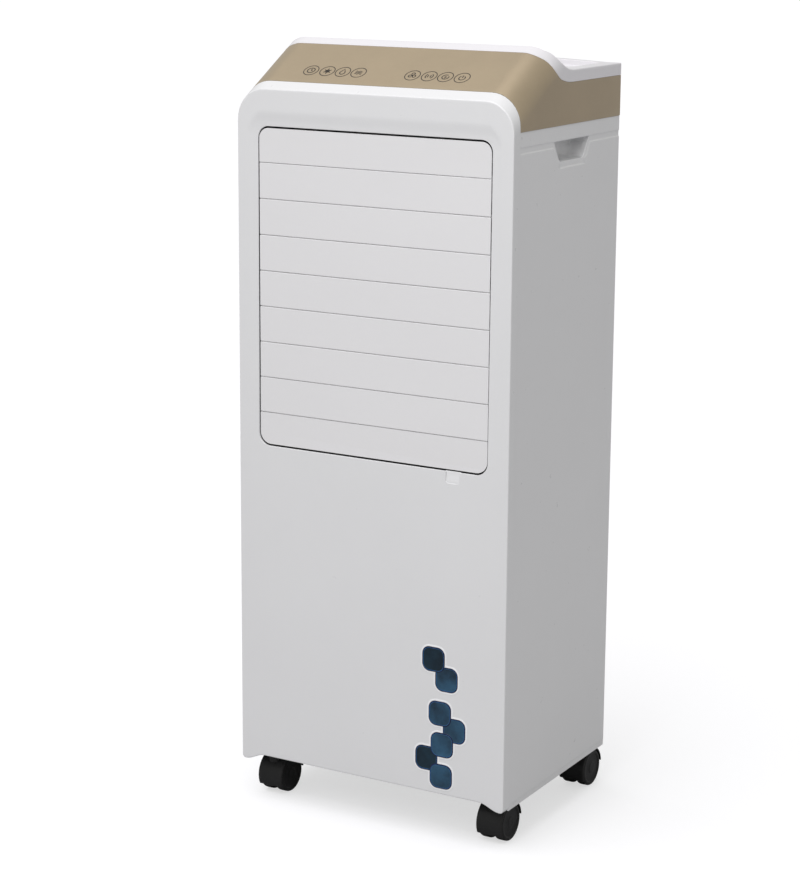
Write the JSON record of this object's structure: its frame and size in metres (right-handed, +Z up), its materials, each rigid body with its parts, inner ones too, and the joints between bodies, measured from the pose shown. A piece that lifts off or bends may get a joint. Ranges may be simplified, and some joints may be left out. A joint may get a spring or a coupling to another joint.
{
  "type": "evaporative cooler",
  "caption": "Upright evaporative air cooler on twin-wheel casters, with louvred front outlet, sloping touch band, side grip pockets, rear filter and slide-out water tank.",
  "frame": {"origin": "on the floor, at the centre of the whole object's footprint, caster hoods included", "axes": "+Z up, front face towards -Y, +X to the right seen from the front"},
  "size_m": [0.4, 0.3132, 1.017],
  "materials": {
    "shell_white": "semi-gloss moulded",
    "slat_white": "semi-gloss moulded",
    "rim_white": "gloss moulded",
    "band_gold": "metallic champagne lacquer",
    "window_blue": "tinted clear plastic",
    "caster_hood": "fine grain",
    "caster_wheel": "nylon, lightly worn",
    "steel": "plated",
    "black_plastic": "moulded",
    "inner_grey": "moulded",
    "vane_white": "moulded",
    "motor_can": "zinc plated",
    "fan_plastic": "moulded",
    "hose_clear": "soft silicone",
    "board_green": "solder mask",
    "filter_white": "moulded",
    "pad_cellulose": "fluted cellulose",
    "tank_white": "moulded"
  },
  "bodies": {
    "cabinet": {"front_panel": "shell_white", "upper_window": "window_blue", "lower_window": "window_blue", "side_panel_right": "shell_white", "side_panel_left": "shell_white", "control_fascia": "band_gold", "top_cover": "rim_white", "rear_frame": "shell_white", "cabinet_screws": "steel", "cord_gland": "black_plastic", "base_plate": "inner_grey", "caster_sockets": "inner_grey", "inner_chassis": "inner_grey", "outlet_duct": "inner_grey", "stepper_motors": "motor_can", "fan_motor": "motor_can", "water_distributor": "inner_grey", "water_pump": "black_plastic", "water_hose": "hose_clear", "control_board": "board_green", "power_board": "board_green"},
    "slat_1": {"slat_1": "slat_white"},
    "slat_2": {"slat_2": "slat_white"},
    "slat_3": {"slat_3": "slat_white"},
    "slat_4": {"slat_4": "slat_white"},
    "slat_5": {"slat_5": "slat_white"},
    "slat_6": {"slat_6": "slat_white"},
    "slat_7": {"slat_7": "slat_white"},
    "slat_8": {"slat_8": "slat_white"},
    "slat_9": {"slat_9": "slat_white"},
    "louvre_link": {"louvre_link": "vane_white"},
    "vane_1": {"vane_1": "vane_white"},
    "vane_2": {"vane_2": "vane_white"},
    "vane_3": {"vane_3": "vane_white"},
    "vane_4": {"vane_4": "vane_white"},
    "vane_5": {"vane_5": "vane_white"},
    "swing_crank": {"swing_crank": "vane_white"},
    "vane_link": {"vane_link": "vane_white"},
    "fan": {"fan_blades": "fan_plastic", "fan_shaft": "steel"},
    "filter": {"filter_frame": "filter_white", "cooling_pad": "pad_cellulose"},
    "tank": {"water_tank": "tank_white"},
    "plug": {"drain_plug": "black_plastic"},
    "caster_front_left": {"caster_front_left_hood": "caster_hood", "caster_front_left_pins": "steel"},
    "caster_front_left_wheel_left": {"caster_front_left_wheel_left": "caster_wheel"},
    "caster_front_left_wheel_right": {"caster_front_left_wheel_right": "caster_wheel"},
    "caster_front_right": {"caster_front_right_hood": "caster_hood", "caster_front_right_pins": "steel"},
    "caster_front_right_wheel_left": {"caster_front_right_wheel_left": "caster_wheel"},
    "caster_front_right_wheel_right": {"caster_front_right_wheel_right": "caster_wheel"},
    "caster_rear_left": {"caster_rear_left_hood": "caster_hood", "caster_rear_left_pins": "steel"},
    "caster_rear_left_wheel_left": {"caster_rear_left_wheel_left": "caster_wheel"},
    "caster_rear_left_wheel_right": {"caster_rear_left_wheel_right": "caster_wheel"},
    "caster_rear_right": {"caster_rear_right_hood": "caster_hood", "caster_rear_right_pins": "steel"},
    "caster_rear_right_wheel_left": {"caster_rear_right_wheel_left": "caster_wheel"},
    "caster_rear_right_wheel_right": {"caster_rear_right_wheel_right": "caster_wheel"}
  },
  "joints": [
    {"name": "slat_1_pivot", "type": "hinge", "parent": "cabinet", "child": "slat_1", "pos_m": [0, -0.14685, 0.88575], "axis": [-1, 0, 0], "range_deg": [0, 80]},
    {"name": "slat_2_pivot", "type": "hinge", "parent": "cabinet", "child": "slat_2", "pos_m": [0, -0.14685, 0.83925], "axis": [-1, 0, 0], "range_deg": [0, 80]},
    {"name": "slat_3_pivot", "type": "hinge", "parent": "cabinet", "child": "slat_3", "pos_m": [0, -0.14685, 0.79275], "axis": [-1, 0, 0], "range_deg": [0, 80]},
    {"name": "slat_4_pivot", "type": "hinge", "parent": "cabinet", "child": "slat_4", "pos_m": [0, -0.14685, 0.74625], "axis": [-1, 0, 0], "range_deg": [0, 80]},
    {"name": "slat_5_pivot", "type": "hinge", "parent": "cabinet", "child": "slat_5", "pos_m": [0, -0.14685, 0.69975], "axis": [-1, 0, 0], "range_deg": [0, 80]},
    {"name": "slat_6_pivot", "type": "hinge", "parent": "cabinet", "child": "slat_6", "pos_m": [0, -0.14685, 0.65325], "axis": [-1, 0, 0], "range_deg": [0, 80]},
    {"name": "slat_7_pivot", "type": "hinge", "parent": "cabinet", "child": "slat_7", "pos_m": [0, -0.14685, 0.60675], "axis": [-1, 0, 0], "range_deg": [0, 80]},
    {"name": "slat_8_pivot", "type": "hinge", "parent": "cabinet", "child": "slat_8", "pos_m": [0, -0.14685, 0.56025], "axis": [-1, 0, 0], "range_deg": [0, 80]},
    {"name": "slat_9_pivot", "type": "hinge", "parent": "cabinet", "child": "slat_9", "pos_m": [0, -0.14685, 0.51375], "axis": [-1, 0, 0], "range_deg": [0, 80]},
    {"name": "louvre_link_pin", "type": "hinge", "parent": "slat_1", "child": "louvre_link", "pos_m": [-0.18, -0.13285, 0.88575], "axis": [-1, 0, 0], "range_deg": [-80, 0]},
    {"name": "vane_1_pivot", "type": "hinge", "parent": "cabinet", "child": "vane_1", "pos_m": [-0.136, -0.09385, 0.503], "axis": [0, 0, 1], "range_deg": [-35, 35]},
    {"name": "vane_2_pivot", "type": "hinge", "parent": "cabinet", "child": "vane_2", "pos_m": [-0.068, -0.09385, 0.503], "axis": [0, 0, 1], "range_deg": [-35, 35]},
    {"name": "vane_3_pivot", "type": "hinge", "parent": "cabinet", "child": "vane_3", "pos_m": [0, -0.09385, 0.503], "axis": [0, 0, 1], "range_deg": [-35, 35]},
    {"name": "vane_4_pivot", "type": "hinge", "parent": "cabinet", "child": "vane_4", "pos_m": [0.068, -0.09385, 0.503], "axis": [0, 0, 1], "range_deg": [-35, 35]},
    {"name": "vane_5_pivot", "type": "hinge", "parent": "cabinet", "child": "vane_5", "pos_m": [0.136, -0.09385, 0.503], "axis": [0, 0, 1], "range_deg": [-35, 35]},
    {"name": "swing_crank_pivot", "type": "hinge", "parent": "cabinet", "child": "swing_crank", "pos_m": [0.034, -0.09385, 0.503], "axis": [0, 0, 1], "range_deg": [-35, 35]},
    {"name": "vane_link_pin", "type": "hinge", "parent": "vane_1", "child": "vane_link", "pos_m": [-0.136, -0.08185, 0.497], "axis": [0, 0, 1], "range_deg": [-35, 35]},
    {"name": "fan_spin", "type": "hinge", "parent": "cabinet", "child": "fan", "pos_m": [0, -0.03985, 0.70075], "axis": [0, 1, 0], "continuous": true},
    {"name": "filter_slide", "type": "slide", "parent": "cabinet", "child": "filter", "axis": [0, 1, 0], "range_m": [0, 0.08]},
    {"name": "tank_slide", "type": "slide", "parent": "cabinet", "child": "tank", "axis": [0, 1, 0], "range_m": [0, 0.16]},
    {"name": "plug_pull", "type": "slide", "parent": "tank", "child": "plug", "axis": [0, 1, 0], "range_m": [0, 0.03]},
    {"name": "caster_front_left_swivel", "type": "hinge", "parent": "cabinet", "child": "caster_front_left", "pos_m": [-0.169, -0.12085, 0.06], "axis": [0, 0, 1], "continuous": true},
    {"name": "caster_front_left_wheel_left_spin", "type": "hinge", "parent": "caster_front_left", "child": "caster_front_left_wheel_left", "pos_m": [-0.169, -0.10785, 0.025], "axis": [1, 0, 0], "continuous": true},
    {"name": "caster_front_left_wheel_right_spin", "type": "hinge", "parent": "caster_front_left", "child": "caster_front_left_wheel_right", "pos_m": [-0.169, -0.10785, 0.025], "axis": [1, 0, 0], "continuous": true},
    {"name": "caster_front_right_swivel", "type": "hinge", "parent": "cabinet", "child": "caster_front_right", "pos_m": [0.169, -0.12085, 0.06], "axis": [0, 0, 1], "continuous": true},
    {"name": "caster_front_right_wheel_left_spin", "type": "hinge", "parent": "caster_front_right", "child": "caster_front_right_wheel_left", "pos_m": [0.169, -0.10785, 0.025], "axis": [1, 0, 0], "continuous": true},
    {"name": "caster_front_right_wheel_right_spin", "type": "hinge", "parent": "caster_front_right", "child": "caster_front_right_wheel_right", "pos_m": [0.169, -0.10785, 0.025], "axis": [1, 0, 0], "continuous": true},
    {"name": "caster_rear_left_swivel", "type": "hinge", "parent": "cabinet", "child": "caster_rear_left", "pos_m": [-0.169, 0.11515, 0.06], "axis": [0, 0, 1], "continuous": true},
    {"name": "caster_rear_left_wheel_left_spin", "type": "hinge", "parent": "caster_rear_left", "child": "caster_rear_left_wheel_left", "pos_m": [-0.169, 0.12815, 0.025], "axis": [1, 0, 0], "continuous": true},
    {"name": "caster_rear_left_wheel_right_spin", "type": "hinge", "parent": "caster_rear_left", "child": "caster_rear_left_wheel_right", "pos_m": [-0.169, 0.12815, 0.025], "axis": [1, 0, 0], "continuous": true},
    {"name": "caster_rear_right_swivel", "type": "hinge", "parent": "cabinet", "child": "caster_rear_right", "pos_m": [0.169, 0.11515, 0.06], "axis": [0, 0, 1], "continuous": true},
    {"name": "caster_rear_right_wheel_left_spin", "type": "hinge", "parent": "caster_rear_right", "child": "caster_rear_right_wheel_left", "pos_m": [0.169, 0.12815, 0.025], "axis": [1, 0, 0], "continuous": true},
    {"name": "caster_rear_right_wheel_right_spin", "type": "hinge", "parent": "caster_rear_right", "child": "caster_rear_right_wheel_right", "pos_m": [0.169, 0.12815, 0.025], "axis": [1, 0, 0], "continuous": true}
  ],
  "couplings": [
    {"joint": "slat_2_pivot", "follows": "slat_1_pivot", "ratio": 1},
    {"joint": "slat_3_pivot", "follows": "slat_1_pivot", "ratio": 1},
    {"joint": "slat_4_pivot", "follows": "slat_1_pivot", "ratio": 1},
    {"joint": "slat_5_pivot", "follows": "slat_1_pivot", "ratio": 1},
    {"joint": "slat_6_pivot", "follows": "slat_1_pivot", "ratio": 1},
    {"joint": "slat_7_pivot", "follows": "slat_1_pivot", "ratio": 1},
    {"joint": "slat_8_pivot", "follows": "slat_1_pivot", "ratio": 1},
    {"joint": "slat_9_pivot", "follows": "slat_1_pivot", "ratio": 1},
    {"joint": "louvre_link_pin", "follows": "slat_1_pivot", "ratio": -1},
    {"joint": "vane_2_pivot", "follows": "vane_1_pivot", "ratio": 1},
    {"joint": "vane_3_pivot", "follows": "vane_1_pivot", "ratio": 1},
    {"joint": "vane_4_pivot", "follows": "vane_1_pivot", "ratio": 1},
    {"joint": "vane_5_pivot", "follows": "vane_1_pivot", "ratio": 1},
    {"joint": "swing_crank_pivot", "follows": "vane_1_pivot", "ratio": 1},
    {"joint": "vane_link_pin", "follows": "vane_1_pivot", "ratio": -1}
  ]
}
